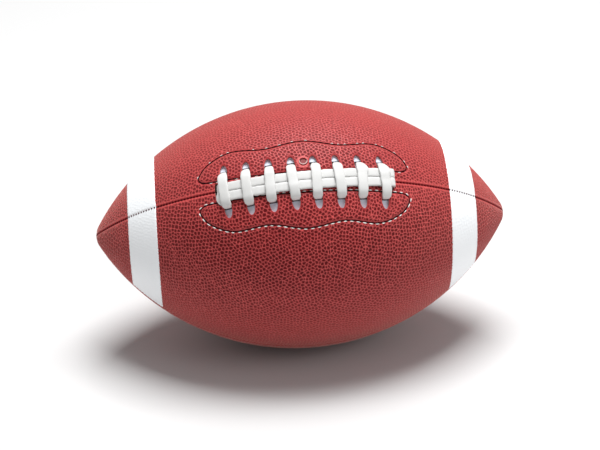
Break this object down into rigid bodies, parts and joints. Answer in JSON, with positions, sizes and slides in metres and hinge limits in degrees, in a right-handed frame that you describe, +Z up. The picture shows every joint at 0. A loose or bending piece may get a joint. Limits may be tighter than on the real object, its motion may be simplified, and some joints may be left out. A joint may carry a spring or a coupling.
{
  "type": "american football",
  "caption": "Pointed ball with a pebbled red-brown cover of sewn panels, a white lacing along one seam, two white end stripes, an inner bladder and a needle valve.",
  "frame": {"origin": "centre of the ball, on its long axis", "axes": "+X along the ball from nose to nose, +Z up; the lacing runs along X and faces the front (-Y), 45 degrees up"},
  "size_m": [0.282, 0.171, 0.171],
  "materials": {
    "cover": "satin",
    "stripe_paint": "satin",
    "lace": "satin",
    "stitch_thread": "matte",
    "seam_thread": "matte",
    "lining": "matte",
    "patch": "matte",
    "tongue": "matte",
    "bladder": "satin",
    "valve_body": "satin",
    "valve_core": "matte"
  },
  "bodies": {
    "ball": {"lace_upper_panel": "cover", "lace_lower_panel": "cover", "back_upper_panel": "cover", "back_lower_panel": "cover", "lace_upper_lining": "lining", "lace_lower_lining": "lining", "back_upper_lining": "lining", "back_lower_lining": "lining", "lace_patch_upper": "patch", "lace_patch_lower": "patch", "patch_stitching_upper": "stitch_thread", "patch_stitching_lower": "stitch_thread", "cross_lace": "lace", "lace_strand_upper": "lace", "lace_strand_lower": "lace", "lace_tongue": "tongue", "stripe_left": "stripe_paint", "stripe_right": "stripe_paint", "seam_thread_lace": "seam_thread", "seam_thread_top": "seam_thread", "seam_thread_bottom": "seam_thread", "seam_thread_back": "seam_thread", "bladder": "bladder", "valve_patch": "bladder", "valve_housing": "valve_body"},
    "valve_core": {"valve_core": "valve_core"},
    "lip_upper": {"valve_lip_upper": "valve_core"},
    "lip_lower": {"valve_lip_lower": "valve_core"}
  },
  "joints": [
    {"name": "core_slide", "type": "slide", "parent": "ball", "child": "valve_core", "axis": [0, -0.5824, 0.8129], "range_m": [0, 0.022]},
    {"name": "lip_upper_hinge", "type": "hinge", "parent": "valve_core", "child": "lip_upper", "pos_m": [0, -0.04, 0.05884], "axis": [1, 0, 0], "range_deg": [0, 15]},
    {"name": "lip_lower_hinge", "type": "hinge", "parent": "valve_core", "child": "lip_lower", "pos_m": [0, -0.04285, 0.0568], "axis": [-1, 0, 0], "range_deg": [0, 15]}
  ],
  "couplings": [
    {"joint": "lip_lower_hinge", "follows": "lip_upper_hinge", "ratio": 1}
  ]
}
